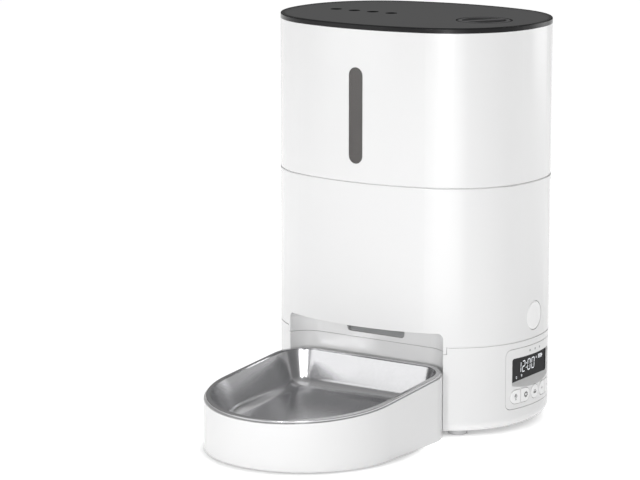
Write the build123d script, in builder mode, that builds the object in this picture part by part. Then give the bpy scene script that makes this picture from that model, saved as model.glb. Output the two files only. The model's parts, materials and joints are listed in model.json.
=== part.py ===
from build123d import *
import os
from math import acos, asin, cos, pi, radians, sin, sqrt, tan

# Automatic pet feeder, millimetres, +Z up, bowl towards -Y, control panel towards +X.
# The origin is the middle of the whole footprint, on the floor.

# Housing outline: an oval of eight tangent arcs
body_width = 215.0
body_depth = 165.0
corner_radius = 72.0
front_arc_angle = 17.0
side_arc_angle = 10.0
wall = 2.5

# Heights of the stacked housings
foot_height = 4.0
base_height = 66.3
mid_height = 120.7
tank_height = 115.5
lid_edge = 4.0

# Edges and fits
base_edge_radius = 8.0
seam_edge_radius = 0.9
seam_groove = 0.8
band_height = 4.2
band_proud = 0.3
part_gap = 0.3
running_gap = 0.05
key_gap = 0.4

# Bowl tray and its dock in the front of the housing
tray_half_width = 75.2
tray_length = 165.5
tray_corner = 25.7
tray_rim_rear = 51.0
tray_rim_front = 36.0
tray_wall = 2.4
tray_floor_height = 1.0
tray_pad_radius = 6.0
tray_pad_inset = 22.0
tongue_width = 12.0
tongue_height = 3.0
tongue_level = 14.0
tongue_spacing = 70.0
dock_depth = 28.5
dock_rear_gap = 4.7
dock_corner = 22.0
dock_rise = 10.2
dock_edge_radius = 4.5
skirt_drop = 5.3

# Steel bowl
bowl_rim_inset = 1.2
bowl_rim_width = 3.6
bowl_rim_thickness = 1.8
bowl_rim_round = 0.8
bowl_depth = 27.0
bowl_taper = 18.0
bowl_floor_radius = 10.0
bowl_sheet = 0.9

# Window in the tank
window_width = 12.4
window_length = 72.9
window_sill = 14.2
window_flange = 3.0
window_thickness = 1.8

# Lid, its seal, lock and drying box
lid_plate = 2.6
lid_sink = 0.9
lid_rim_width = 2.2
lid_bevel_width = 2.4
plug_depth = 10.0
plug_wall = 2.2
plug_gap = 0.8
seal_height = 3.0
seal_depth = 1.2
knob_inset = 46.0
knob_diameter = 40.0
knob_thickness = 3.2
knob_dish = 1.6
grip_width = 6.0
grip_turn = -28.0
knob_stem_radius = 4.5
lock_reach = 37.5
lock_width = 11.0
lock_hub_radius = 8.8
lock_thickness = 3.0
keeper_reach = 8.1
keeper_width = 16.0
lock_notch = 38.0
dry_box_inset = 59.5
dry_box_width = 62.0
dry_box_length = 46.0
dry_box_height = 12.0
dry_wall = 1.6
dry_slot_count = 7

# Food path
ledge_width = 7.0
ledge_thickness = 3.2
chamber_rise = 33.7
chamber_floor = 3.0
chamber_radius = 55.0
chamber_wall = 2.5
chamber_height = 34.0
rotor_y = 10.0
rotor_vanes = 6
rotor_gap = 1.5
rotor_height = 23.5
rotor_hub_radius = 13.0
rotor_journal_radius = 10.0
vane_thickness = 2.4
stirrer_height = 16.0
stirrer_reach = 40.0
stirrer_taper = 12.0
cover_angle = 84.0
cover_thickness = 2.0
funnel_wall = 2.0
outlet_width = 52.6
outlet_sill = 3.9
outlet_height = 10.3
outlet_corner = 3.0
chute_wall = 2.0
drop_length = 33.0
drop_inset = 4.5

# Release button and latch in the right-hand side
release_y = 2.5
release_rise = 16.8
release_diameter = 22.0
release_travel = 3.0
release_flange = 1.3
sleeve_wall = 2.0
sleeve_length = 6.0
latch_width = 14.0
latch_thickness = 2.0
latch_hook = 2.3
latch_inset = 21.0
latch_foot = 13.0

# Deck and drive
deck_drop = 9.3
deck_thickness = 2.5
post_radius = 4.2
post_angle = 38.0
post_inset = 6.0
gear_module = 1.0
pressure_angle = 25.0
gear_backlash = 0.16
tooth_root = 1.1
tooth_tip = 0.8
motor_teeth = 12
idler_teeth = 36
idler_pinion_teeth = 12
output_teeth = 40
gear_width = 5.0
output_width = 7.0
gear_spacing = 1.0
case_wall = 2.2
case_floor = 2.5
case_margin = 3.7
case_corner = 9.0
case_post_radius = 3.0
gear_cover = 2.5
idler_pin_radius = 1.5
motor_radius = 12.0
motor_length = 32.0
motor_shaft_radius = 1.0
output_hub_radius = 7.0
bush_wall = 2.4
bush_length = 4.5
dog_flats = 12.0
dog_engagement = 8.0

# Battery bay for three D cells, lying side by side
cell_diameter = 34.2
cell_length = 61.5
cell_count = 3
cell_play = 1.5
contact_room = 6.0
contact_taper = 20.0
bay_x = -17.5
bay_y = 6.0
bay_wall = 1.6
bay_ledge = 1.5
door_thickness = 1.8

# Control panel, its display and keys
panel_y = 4.2
panel_width = 69.0
panel_height = 46.2
panel_level = 41.4
panel_corner = 5.0
panel_depth = 9.0
display_width = 57.0
display_height = 19.5
display_level = 47.6
display_corner = 2.0
display_sink = 6.0
display_slope = 5.0
lens_thickness = 1.8
module_thickness = 4.0
key_level = 27.4
key_height = 10.6
key_pair_width = 22.4
key_round_gap = 2.4
key_split = 1.4
key_proud = 0.3
key_travel = 0.8
key_stem_radius = 1.8
switch_height = 2.0
switch_size = 6.0
light_radius = 0.9
light_spacing = 7.6
light_level = 60.8
light_bar = 3.0
board_thickness = 1.6
panel_post_radius = 2.2
panel_post_span = 62.6
panel_post_rise = 29.0

# Electronics in the base
board_x = 60.0
board_y = -8.0
board_width = 46.0
board_length = 62.0
board_level = 15.0
board_post_radius = 3.0
board_post_inset = 4.0
speaker_x = 52.3
speaker_y = 48.8
speaker_radius = 16.5
speaker_height = 9.0
speaker_cone_radius = 14.5
speaker_cone_taper = 35.0
speaker_dish_radius = 13.6
speaker_dish_taper = 30.0
grille_length = 22.0
grille_slots = 5
inlet_level = 20.0
inlet_radius = 4.4
inlet_bore = 3.0
inlet_pin = 0.65
inlet_length = 13.0
inlet_bore_depth = 9.8
inlet_body = 10.0

# Feet and screws
front_foot_x = 71.0
front_foot_y = 48.0
rear_foot_x = 78.0
rear_foot_y = 41.0
foot_radius = 7.5
foot_socket = 1.2
screw_radius = 1.4
screw_head_radius = 2.8
screw_head_height = 1.8
screw_length = 8.0
small_head_radius = 2.2

# Values that follow from the ones above
half_width = body_width / 2
half_depth = body_depth / 2
s1, c1 = sin(radians(front_arc_angle)), cos(radians(front_arc_angle))
s2, c2 = cos(radians(side_arc_angle)), sin(radians(side_arc_angle))
width_left = half_width - corner_radius * (s2 - s1)
depth_left = half_depth - corner_radius * (c1 - c2)
arc_solve = s1 * c2 - (1 - s2) * (1 - c1)
front_radius = (width_left * c2 - depth_left * (1 - s2)) / arc_solve
side_radius = (depth_left * s1 - width_left * (1 - c1)) / arc_solve
corner_x = (front_radius - corner_radius) * s1
corner_y = (side_radius - corner_radius) * c2

base_bottom = foot_height
seam_low = base_bottom + base_height
seam_high = seam_low + mid_height
tank_top = seam_high + tank_height
lid_top = tank_top + lid_edge
deck_level = seam_low - deck_drop
release_level = seam_low + release_rise
chamber_level = seam_low + chamber_rise
latch_x = half_width - latch_inset
knob_x = half_width - knob_inset
dry_box_x = dry_box_inset - half_width

dock_back = dock_depth - half_depth
dock_half_width = tray_half_width - tray_corner + dock_corner
dock_ceiling = seam_low + dock_rise
skirt_level = seam_low - skirt_drop
tray_rear = dock_back - dock_rear_gap
tray_front = tray_rear - tray_length
rim_slope = (tray_rim_rear - tray_rim_front) / tray_length
body_y = -(tray_front + half_depth + band_proud) / 2


def level(z):
    """Horizontal plane at height z, centred on the housing."""
    return Plane((0, body_y, z))


def from_right(x, y=0.0, z=0.0):
    """Upright plane that faces +X, with its own x along +Y and its own y up."""
    return Plane((x, body_y + y, z), x_dir=(0, 1, 0), z_dir=(1, 0, 0))


def from_front(y):
    """Upright plane that faces -Y, with its own x along +X and its own y up."""
    return Plane((0, body_y + y, 0), x_dir=(1, 0, 0), z_dir=(0, -1, 0))


def on_panel(depth, z=0.0):
    """Plane of the control panel, a depth below the housing's surface."""
    turn = asin(panel_y / side_radius)
    reach = side_radius - depth
    middle = (half_width - side_radius + reach * cos(turn), body_y + reach * sin(turn), z)
    return Plane(middle, x_dir=(-sin(turn), cos(turn), 0), z_dir=(cos(turn), sin(turn), 0))


def oval(inset=0.0):
    """Housing outline moved inwards by inset."""
    front_r, corner_r, side_r = front_radius - inset, corner_radius - inset, side_radius - inset
    corner_sweep = 90 - front_arc_angle - side_arc_angle
    with BuildSketch() as outline:
        with BuildLine():
            for sx, start in ((1, -side_arc_angle), (-1, 180 - side_arc_angle)):
                CenterArc((sx * (half_width - side_radius), 0), side_r, start, 2 * side_arc_angle)
            for sy, start in ((1, 90 - front_arc_angle), (-1, 270 - front_arc_angle)):
                CenterArc((0, sy * (half_depth - front_radius)), front_r, start, 2 * front_arc_angle)
            for sx, sy, start in (
                (1, 1, side_arc_angle),
                (-1, 1, 90 + front_arc_angle),
                (-1, -1, 180 + side_arc_angle),
                (1, -1, 270 + front_arc_angle),
            ):
                CenterArc((sx * corner_x, sy * corner_y), corner_r, start, corner_sweep)
        make_face()
    return outline.sketch


def oval_corner(inset, angle):
    """Four matching points inside the outline's corner arcs, at an angle from the side."""
    reach = corner_radius - inset
    x = corner_x + reach * cos(radians(angle))
    y = corner_y + reach * sin(radians(angle))
    return [(sx * x, sy * y) for sx in (1, -1) for sy in (1, -1)]


def ring(outer, inner):
    """Band of the housing outline between two insets."""
    with BuildSketch() as band:
        add(oval(outer))
        add(oval(inner), mode=Mode.SUBTRACT)
    return band.sketch


def dock(grow=0.0):
    """Plan of the bowl dock, open to the front, grown by a wall or a gap."""
    rear = dock_back + grow
    front = tray_front
    with BuildSketch() as plan:
        with Locations((0, (rear + front) / 2)):
            RectangleRounded(2 * (dock_half_width + grow), rear - front, dock_corner + grow)
    return plan.sketch


def tray_plan(inset=0.0):
    """Plan of the bowl tray: round at the front, soft corners at the rear."""
    half = tray_half_width - inset
    corner = tray_corner - inset
    rear = tray_rear - inset
    nose = tray_front + tray_half_width
    with BuildSketch() as plan:
        with BuildLine():
            Line((-half, rear - corner), (-half, nose))
            CenterArc((0, nose), half, 180, 180)
            Line((half, nose), (half, rear - corner))
            CenterArc((half - corner, rear - corner), corner, 0, 90)
            Line((half - corner, rear), (corner - half, rear))
            CenterArc((corner - half, rear - corner), corner, 90, 90)
        make_face()
    return plan.sketch


def gear(teeth, turn):
    """Involute spur gear outline with stub teeth, turned by an angle in degrees."""
    pitch_r = gear_module * teeth / 2
    base_r = pitch_r * cos(radians(pressure_angle))
    root_r = pitch_r - tooth_root * gear_module
    tip_r = pitch_r + tooth_tip * gear_module
    foot_r = max(root_r, base_r)
    involute = tan(radians(pressure_angle)) - radians(pressure_angle)
    half_tooth = pi / (2 * teeth) - gear_backlash / (2 * pitch_r)

    def flank(r):
        roll = acos(min(1.0, base_r / r))
        return half_tooth + involute - (tan(roll) - roll)

    def point(r, angle):
        return (r * cos(angle), r * sin(angle))

    with BuildSketch() as outline:
        with BuildLine():
            for tooth in range(teeth):
                middle = radians(turn) + 2 * pi * tooth / teeth
                following = middle + 2 * pi / teeth
                mean_r = (foot_r + tip_r) / 2
                for side in (-1, 1):
                    low, mean, tip = (point(r, middle + side * flank(r)) for r in (foot_r, mean_r, tip_r))
                    ThreePointArc(low, mean, tip)
                    if root_r < base_r:
                        Line(point(root_r, middle + side * flank(foot_r)), low)
                Line(point(tip_r, middle - flank(tip_r)), point(tip_r, middle + flank(tip_r)))
                root_half = flank(foot_r)
                Line(point(root_r, middle + root_half), point(root_r, following - root_half))
        make_face()
    return outline.sketch


def screws(spots, seat, length=screw_length):
    """Pan-head screws standing in their holes, heads on the seat."""
    with BuildPart() as group:
        with BuildSketch(level(seat)):
            with Locations(spots):
                Circle(screw_head_radius)
        extrude(amount=screw_head_height)
        with BuildSketch(level(seat)):
            with Locations(spots):
                Circle(screw_radius)
        extrude(amount=-length)
    return group.part


os.makedirs("parts", exist_ok=True)


def save(piece, label):
    """Label one finished piece and write it."""
    piece.label = label
    export_step(piece, f"parts/{label}.step")


# Where the screws and posts of the base stand
deck_posts = oval_corner(wall + post_inset, post_angle)
deck_top = deck_level + deck_thickness
base_floor = base_bottom + wall
bay_width = cell_count * cell_diameter + cell_play
bay_length = cell_length + contact_room
bay_height = cell_diameter + cell_play
board_posts = [
    (
        board_x + sx * (board_width / 2 - board_post_inset),
        board_y + sy * (board_length / 2 - board_post_inset),
    )
    for sx in (1, -1)
    for sy in (1, -1)
]
board_depth = panel_depth + module_thickness + switch_height + gear_spacing
panel_stack = board_depth + board_thickness + screw_head_height + part_gap
front_feet = [(sx * front_foot_x, -front_foot_y) for sx in (1, -1)]
rear_feet = [(sx * rear_foot_x, rear_foot_y) for sx in (1, -1)]
foot_spots = front_feet + rear_feet

# Base shell: a tub with a soft lower edge, a dock for the tray and an opening for the panel
with BuildPart() as base_cavity:
    with BuildSketch(level(base_floor)):
        add(oval(wall))
        add(dock(wall), mode=Mode.SUBTRACT)
    extrude(amount=base_height)
    fillet(base_cavity.edges().group_by(Axis.Z)[0], radius=base_edge_radius - wall)

with BuildPart() as base_shell:
    with BuildSketch(level(base_bottom)):
        add(oval())
    extrude(amount=base_height)
    fillet(base_shell.edges().group_by(Axis.Z)[0], radius=base_edge_radius)
    with BuildSketch(level(seam_low)):
        add(ring(-part_gap, seam_groove))
    extrude(amount=-seam_groove, mode=Mode.SUBTRACT)
    add(base_cavity.part, mode=Mode.SUBTRACT)
    with BuildSketch(level(seam_low - 2 * wall)):
        add(ring(wall - part_gap, 2 * wall - part_gap))
        add(dock(wall), mode=Mode.SUBTRACT)
    extrude(amount=2 * wall)
    with BuildSketch(level(seam_low)):
        add(ring(wall + part_gap, 2 * wall - part_gap))
        add(dock(2 * wall), mode=Mode.SUBTRACT)
    extrude(amount=wall)
    with BuildSketch(level(base_floor - wall / 2)):
        with Locations(deck_posts):
            Circle(post_radius)
    extrude(amount=deck_level - base_floor + wall / 2)
    with BuildSketch(level(base_floor - wall / 2)):
        with Locations(board_posts):
            Circle(board_post_radius)
    extrude(amount=board_level - base_floor + wall / 2)
    with BuildSketch(level(0)):
        add(dock())
    extrude(amount=seam_high, mode=Mode.SUBTRACT)
    with BuildSketch(level(0)):
        add(tray_plan(-part_gap))
    extrude(amount=skirt_level, mode=Mode.SUBTRACT)
    with BuildSketch(level(skirt_level - part_gap)):
        add(dock(wall + part_gap))
    extrude(amount=seam_high, mode=Mode.SUBTRACT)
    with BuildSketch(on_panel(panel_stack, panel_level)):
        RectangleRounded(panel_width + 2 * key_gap, panel_height + 2 * key_gap, panel_corner + key_gap)
    extrude(amount=panel_stack + panel_depth, mode=Mode.SUBTRACT)
    with BuildSketch(level(deck_level)):
        with Locations(deck_posts):
            Circle(screw_radius)
    extrude(amount=deck_thickness - screw_length, mode=Mode.SUBTRACT)
    with BuildSketch(level(board_level)):
        with Locations(board_posts):
            Circle(screw_radius)
    extrude(amount=board_thickness - screw_length, mode=Mode.SUBTRACT)
    with BuildSketch(level(base_bottom)):
        with Locations(foot_spots):
            Circle(foot_radius + part_gap)
    extrude(amount=foot_socket, mode=Mode.SUBTRACT)
    with BuildSketch(level(base_bottom)):
        with Locations((bay_x, bay_y)):
            Rectangle(bay_width, bay_length)
    extrude(amount=door_thickness, mode=Mode.SUBTRACT)
    with BuildSketch(level(base_bottom)):
        with Locations((bay_x, bay_y)):
            Rectangle(bay_width - 2 * bay_ledge, bay_length - 2 * bay_ledge)
    extrude(amount=2 * wall, mode=Mode.SUBTRACT)
    with BuildSketch(level(base_bottom)):
        with Locations((speaker_x, speaker_y)):
            with GridLocations(0, 2 * wall, 1, grille_slots):
                SlotOverall(grille_length, wall)
    extrude(amount=2 * wall, mode=Mode.SUBTRACT)
    with BuildSketch(from_front(half_depth - 3 * wall)):
        with Locations((0, inlet_level)):
            Circle(inlet_radius + part_gap)
    extrude(amount=-4 * wall, mode=Mode.SUBTRACT)
    with BuildSketch(from_front(dock_back - wall)):
        with Locations((-tongue_spacing / 2, tongue_level), (tongue_spacing / 2, tongue_level)):
            Rectangle(tongue_width + 4 * part_gap, tongue_height + 4 * part_gap)
    extrude(amount=-3 * wall, mode=Mode.SUBTRACT)
save(base_shell.part, "base_shell")

# Rubber feet, one under each corner of the base
with BuildPart() as feet:
    with BuildSketch(level(0)):
        with Locations(foot_spots):
            Circle(foot_radius)
    extrude(amount=foot_height + foot_socket)
    fillet(feet.edges().group_by(Axis.Z)[0], radius=foot_height / 4)
save(feet.part, "rubber_feet")

# Battery case over the opening in the floor, with its flat contacts and its door
with BuildPart() as battery_case:
    with BuildSketch(level(base_floor)):
        with Locations((bay_x, bay_y)):
            Rectangle(bay_width + 2 * bay_wall, bay_length + 2 * bay_wall)
    extrude(amount=bay_height + bay_wall)
    fillet(battery_case.edges().filter_by(Axis.Z), radius=bay_wall)
    with BuildSketch(level(base_floor)):
        with Locations((bay_x, bay_y)):
            Rectangle(bay_width, bay_length)
    extrude(amount=bay_height, mode=Mode.SUBTRACT)
save(battery_case.part, "battery_case")

contact_size = cell_diameter / 2
with BuildPart() as contacts:
    for end in (-1, 1):
        with BuildSketch(level(base_floor + cell_diameter / 2 - contact_size / 2)):
            with Locations((bay_x, bay_y + end * (bay_length / 2 - board_thickness / 4))):
                with GridLocations(cell_diameter, 0, cell_count, 1):
                    Rectangle(contact_size, board_thickness / 2)
        extrude(amount=contact_size)
        with BuildSketch(from_front(bay_y + end * (bay_length / 2 - board_thickness / 2))):
            with Locations((bay_x, base_floor + cell_diameter / 2)):
                with GridLocations(cell_diameter, 0, cell_count, 1):
                    Circle(contact_size / 3)
        extrude(amount=end * contact_room / 4, taper=contact_taper)
save(contacts.part, "battery_contacts")

with BuildPart() as battery_door:
    with BuildSketch(level(base_bottom)):
        with Locations((bay_x, bay_y)):
            RectangleRounded(bay_width - 2 * part_gap, bay_length - 2 * part_gap, bay_wall)
    extrude(amount=door_thickness - part_gap)
    with BuildSketch(level(base_bottom + door_thickness - part_gap)):
        with Locations((bay_x, bay_y)):
            with GridLocations(cell_diameter, 0, cell_count, 1):
                Rectangle(bay_wall, bay_length - 2 * bay_ledge - 4 * part_gap)
    extrude(amount=door_thickness)
    with BuildSketch(level(base_bottom)):
        with Locations((bay_x, bay_y - bay_length / 3)):
            with GridLocations(2 * bay_wall, 0, 5, 1):
                SlotOverall(contact_size / 2, bay_wall, rotation=90)
    extrude(amount=door_thickness / 3, mode=Mode.SUBTRACT)
save(battery_door.part, "battery_door")

# Deck that closes the base, cut back for the dock and the panel, slotted for the latch
latch_low = deck_level - part_gap
panel_clear = panel_width / 2 + 2 * wall
latch_edge = latch_x + latch_thickness / 2 + part_gap + wall / 2
deck_panel_edge = latch_edge + 2 * wall
output_distance = gear_module * (output_teeth + idler_pinion_teeth) / 2
motor_distance = gear_module * (idler_teeth + motor_teeth) / 2
idler_y = rotor_y + output_distance
motor_y = idler_y + motor_distance
output_tip = gear_module * (output_teeth / 2 + 1)
case_half = output_tip + case_margin
case_front = rotor_y - case_half
case_back = motor_y + motor_radius + case_margin
case_middle = (case_front + case_back) / 2
case_length = case_back - case_front
case_post_inset = case_post_radius + case_wall
case_posts = [
    (sx * (case_half - case_post_inset), case_middle + sy * (case_length / 2 - case_post_inset))
    for sx in (1, -1)
    for sy in (1, -1)
]
low_gear = deck_top + case_floor + gear_spacing
high_gear = low_gear + gear_width + gear_spacing
cover_level = high_gear + output_width + gear_spacing
cover_top = cover_level + gear_cover

with BuildPart() as base_deck:
    with BuildSketch(level(deck_level)):
        add(oval(2 * wall))
        add(dock(wall + part_gap), mode=Mode.SUBTRACT)
        with Locations((deck_panel_edge + half_width / 2, panel_y)):
            Rectangle(half_width, 2 * panel_clear, mode=Mode.SUBTRACT)
        with Locations((latch_edge - latch_thickness - release_travel, release_y)):
            Rectangle(
                2 * (latch_thickness + release_travel),
                latch_width + 4 * part_gap,
                mode=Mode.SUBTRACT,
            )
        with Locations((0, motor_y)):
            Circle(motor_radius + part_gap, mode=Mode.SUBTRACT)
        with Locations((0, rotor_y)):
            Circle(output_hub_radius, mode=Mode.SUBTRACT)
        with Locations(deck_posts, case_posts):
            Circle(screw_radius, mode=Mode.SUBTRACT)
    extrude(amount=deck_thickness)
save(base_deck.part, "base_deck")
save(screws(deck_posts, deck_top), "deck_screws")

# Gear case on the deck, its cover, pin and bush
with BuildPart() as gear_case:
    with BuildSketch(level(deck_top)):
        with Locations((0, case_middle)):
            RectangleRounded(2 * case_half, case_length, case_corner)
    extrude(amount=cover_level - deck_top)
    with BuildSketch(level(deck_top + case_floor)):
        with Locations((0, case_middle)):
            RectangleRounded(
                2 * (case_half - case_wall),
                case_length - 2 * case_wall,
                case_corner - case_wall,
            )
        with Locations(case_posts):
            Circle(case_post_radius, mode=Mode.SUBTRACT)
    extrude(amount=cover_level, mode=Mode.SUBTRACT)
    with BuildSketch(level(deck_top)):
        with Locations((0, motor_y)):
            Circle(motor_radius / 3)
        with Locations((0, idler_y)):
            Circle(idler_pin_radius)
        with Locations((0, rotor_y)):
            Circle(output_hub_radius / 2 + running_gap)
        with Locations(case_posts):
            Circle(screw_radius)
    extrude(amount=cover_level, mode=Mode.SUBTRACT)
save(gear_case.part, "gear_case")

with BuildPart() as case_cover:
    with BuildSketch(level(cover_level)):
        with Locations((0, case_middle)):
            RectangleRounded(2 * case_half, case_length, case_corner)
        with Locations((0, rotor_y)):
            Circle(output_hub_radius + running_gap + bush_wall, mode=Mode.SUBTRACT)
        with Locations((0, idler_y)):
            Circle(idler_pin_radius, mode=Mode.SUBTRACT)
        with Locations(case_posts):
            Circle(screw_radius, mode=Mode.SUBTRACT)
    extrude(amount=gear_cover)
save(case_cover.part, "gear_cover")
save(screws(case_posts, cover_top, cover_top - deck_level), "gear_screws")

with BuildPart() as idler_pin:
    with BuildSketch(level(deck_top)):
        with Locations((0, idler_y)):
            Circle(idler_pin_radius)
    extrude(amount=cover_top - deck_top)
save(idler_pin.part, "idler_pin")

with BuildPart() as output_bush:
    with BuildSketch(level(cover_level)):
        with Locations((0, rotor_y)):
            Circle(output_hub_radius + running_gap + bush_wall)
            Circle(output_hub_radius + running_gap, mode=Mode.SUBTRACT)
    extrude(amount=bush_length)
save(output_bush.part, "output_bush")

# Geared drive: motor, motor pinion, two-step idler, output gear with its hexagonal dog
with BuildPart() as motor:
    with BuildSketch(level(deck_top)):
        with Locations((0, motor_y)):
            Circle(motor_radius)
    extrude(amount=-motor_length)
    fillet(motor.edges().filter_by(GeomType.CIRCLE).group_by(Axis.Z)[0], radius=motor_shaft_radius)
    with BuildSketch(level(deck_top)):
        with Locations((0, motor_y)):
            Circle(motor_radius / 3 - part_gap)
    extrude(amount=case_floor)
    with BuildSketch(level(deck_top - motor_length)):
        with Locations((0, motor_y)):
            with GridLocations(motor_radius, 0, 2, 1):
                Rectangle(motor_radius / 6, motor_radius / 3)
    extrude(amount=-motor_radius / 3)
    with BuildSketch(level(deck_top + case_floor)):
        with Locations((0, motor_y)):
            Circle(motor_shaft_radius + running_gap)
    extrude(amount=-motor_length / 2, mode=Mode.SUBTRACT)
save(motor.part, "motor")

with BuildPart() as motor_pinion:
    with BuildSketch(level(low_gear)):
        with Locations((0, motor_y)):
            add(gear(motor_teeth, 180 / motor_teeth))
    extrude(amount=gear_width)
    with BuildSketch(level(low_gear + gear_width)):
        with Locations((0, motor_y)):
            Circle(motor_shaft_radius)
    extrude(amount=-motor_length / 2)
save(motor_pinion.part, "motor_pinion")

with BuildPart() as idler_gear:
    with BuildSketch(level(low_gear)):
        with Locations((0, idler_y)):
            add(gear(idler_teeth, 0))
    extrude(amount=gear_width)
    with BuildSketch(level(low_gear + gear_width)):
        with Locations((0, idler_y)):
            add(gear(idler_pinion_teeth, 180 / idler_pinion_teeth))
    extrude(amount=gear_spacing + output_width)
    with BuildSketch(level(low_gear)):
        with Locations((0, idler_y)):
            Circle(idler_pin_radius + running_gap)
    extrude(amount=cover_top, mode=Mode.SUBTRACT)
save(idler_gear.part, "idler_gear")

rotor_level = chamber_level + chamber_floor + part_gap
with BuildPart() as output_gear:
    with BuildSketch(level(high_gear)):
        with Locations((0, rotor_y)):
            add(gear(output_teeth, 0))
    extrude(amount=output_width)
    with BuildSketch(level(high_gear)):
        with Locations((0, rotor_y)):
            Circle(output_hub_radius / 2)
    extrude(amount=deck_top - high_gear + part_gap)
    with BuildSketch(level(high_gear + output_width)):
        with Locations((0, rotor_y)):
            Circle(output_hub_radius)
    extrude(amount=cover_level + bush_length - high_gear - output_width + gear_spacing)
    with BuildSketch(level(high_gear + output_width)):
        with Locations((0, rotor_y)):
            RegularPolygon(dog_flats / 2, 6, major_radius=False)
    extrude(amount=rotor_level + dog_engagement - high_gear - output_width)
    chamfer(output_gear.faces().sort_by(Axis.Z)[-1].edges(), length=dog_flats / 12)
save(output_gear.part, "output_gear")

# Middle housing with its top band, ledges, tray dock skirt, release button sleeve and latch block
ledge_top = chamber_level
funnel_seat = seam_high - 2 * wall
sleeve_back = half_width - wall - sleeve_length
block_inner = latch_x + latch_thickness / 2 - latch_foot
outlet_level = skirt_level + outlet_sill + outlet_height / 2
release_hole = release_diameter / 2 + part_gap
chamber_screw_spots = oval_corner(wall + ledge_width / 2, post_angle)

with BuildPart() as dock_space:
    with BuildSketch(level(0)):
        add(dock())
    extrude(amount=dock_ceiling)
    fillet(dock_space.edges().group_by(Axis.Z)[-1], radius=dock_edge_radius)

with BuildPart() as mid_housing:
    with BuildSketch(level(seam_low)):
        add(oval())
    extrude(amount=mid_height)
    with BuildSketch(level(seam_high - band_height)):
        add(oval(-band_proud))
    extrude(amount=band_height)
    fillet(mid_housing.edges().group_by(Axis.Z)[-1], radius=seam_edge_radius)
    with BuildSketch(level(seam_low)):
        add(oval(wall))
    extrude(amount=mid_height, mode=Mode.SUBTRACT)
    with BuildSketch(level(funnel_seat)):
        add(ring(wall / 2, wall + ledge_width))
    extrude(amount=-ledge_thickness)
    with BuildSketch(level(ledge_top)):
        add(ring(wall / 2, wall + ledge_width))
    extrude(amount=-ledge_thickness)
    with BuildSketch(level(ledge_top)):
        with Locations(((block_inner + half_width - wall) / 2, release_y)):
            Rectangle(half_width - wall - block_inner, latch_width + 2 * wall)
    extrude(amount=-ledge_thickness)
    with BuildSketch(level(ledge_top)):
        with Locations((block_inner + latch_foot / 2, release_y)):
            Rectangle(latch_foot, latch_width + 2 * wall)
    extrude(amount=-3 * ledge_thickness)
    with BuildSketch(level(skirt_level)):
        add(oval())
        add(dock(wall), mode=Mode.INTERSECT)
    extrude(amount=dock_ceiling + wall - skirt_level)
    add(dock_space.part, mode=Mode.SUBTRACT)
    with BuildSketch(from_right(sleeve_back, release_y, release_level)):
        Circle(release_hole + sleeve_wall)
    extrude(amount=sleeve_length + wall / 2)
    with BuildSketch(from_right(sleeve_back, release_y, release_level)):
        Circle(release_hole)
    extrude(amount=sleeve_length + 3 * wall, mode=Mode.SUBTRACT)
    with BuildSketch(from_front(dock_back - wall)):
        with Locations((0, outlet_level)):
            RectangleRounded(outlet_width, outlet_height, outlet_corner)
    extrude(amount=-3 * wall, mode=Mode.SUBTRACT)
    with BuildSketch(level(ledge_top)):
        with Locations(chamber_screw_spots):
            Circle(screw_radius)
    extrude(amount=-2 * ledge_thickness, mode=Mode.SUBTRACT)
save(mid_housing.part, "mid_housing")

# Release button, flush with the curved side, and the springy latch arm behind it
flange_back = sleeve_back - part_gap - latch_thickness
with BuildPart() as release_button:
    with BuildSketch(from_right(flange_back, release_y, release_level)):
        Circle(release_hole + release_flange)
    extrude(amount=latch_thickness)
    with BuildSketch(from_right(flange_back, release_y, release_level)):
        Circle(release_diameter / 2)
    extrude(amount=half_width)
    with BuildSketch(level(seam_low)):
        add(oval())
    extrude(amount=mid_height, mode=Mode.INTERSECT)
    fillet(release_button.edges().sort_by(Axis.X)[-1], radius=seam_edge_radius)
    with BuildSketch(from_right(latch_x + latch_thickness / 2 + part_gap, release_y, release_level)):
        Circle(release_diameter / 4)
    extrude(until=Until.NEXT)
save(release_button.part, "release_button")

latch_top = ledge_top - 3 * ledge_thickness
with BuildPart() as latch_arm:
    with BuildSketch(from_front(release_y - latch_width / 2)):
        with BuildLine():
            Polyline(
                (block_inner, latch_top),
                (latch_x + latch_thickness / 2, latch_top),
                (latch_x + latch_thickness / 2, latch_low),
                (latch_edge + latch_hook, latch_low),
                (latch_x + latch_thickness / 2, latch_low - 2 * latch_hook),
                (latch_x - latch_thickness / 2, latch_low - 2 * latch_hook),
                (latch_x - latch_thickness / 2, latch_top - latch_thickness),
                (block_inner, latch_top - latch_thickness),
                close=True,
            )
        make_face()
    extrude(amount=-latch_width)
save(latch_arm.part, "latch_arm")

# Rotor chamber: a floor across the housing with a drum for the food wheel and a drop to the chute
drop_front = rotor_y - chamber_radius + drop_inset
drop_width = outlet_width - 2 * drop_inset
with BuildPart() as rotor_chamber:
    with BuildSketch(level(chamber_level)):
        add(oval(wall + part_gap))
    extrude(amount=chamber_floor)
    with BuildSketch(level(chamber_level)):
        with Locations((0, rotor_y)):
            Circle(chamber_radius + chamber_wall)
    extrude(amount=chamber_height)
    with BuildSketch(level(chamber_level + chamber_floor)):
        with Locations((0, rotor_y)):
            Circle(chamber_radius)
    extrude(amount=chamber_height, mode=Mode.SUBTRACT)
    with BuildSketch(level(chamber_level)):
        with Locations((0, rotor_y)):
            Circle(rotor_journal_radius + running_gap)
        with Locations((0, drop_front + drop_length / 2)):
            RectangleRounded(drop_width, drop_length, 2 * outlet_corner)
        with Locations(chamber_screw_spots):
            Circle(screw_radius)
    extrude(amount=chamber_floor, mode=Mode.SUBTRACT)
save(rotor_chamber.part, "rotor_chamber")
save(screws(chamber_screw_spots, chamber_level + chamber_floor), "chamber_screws")

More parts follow.
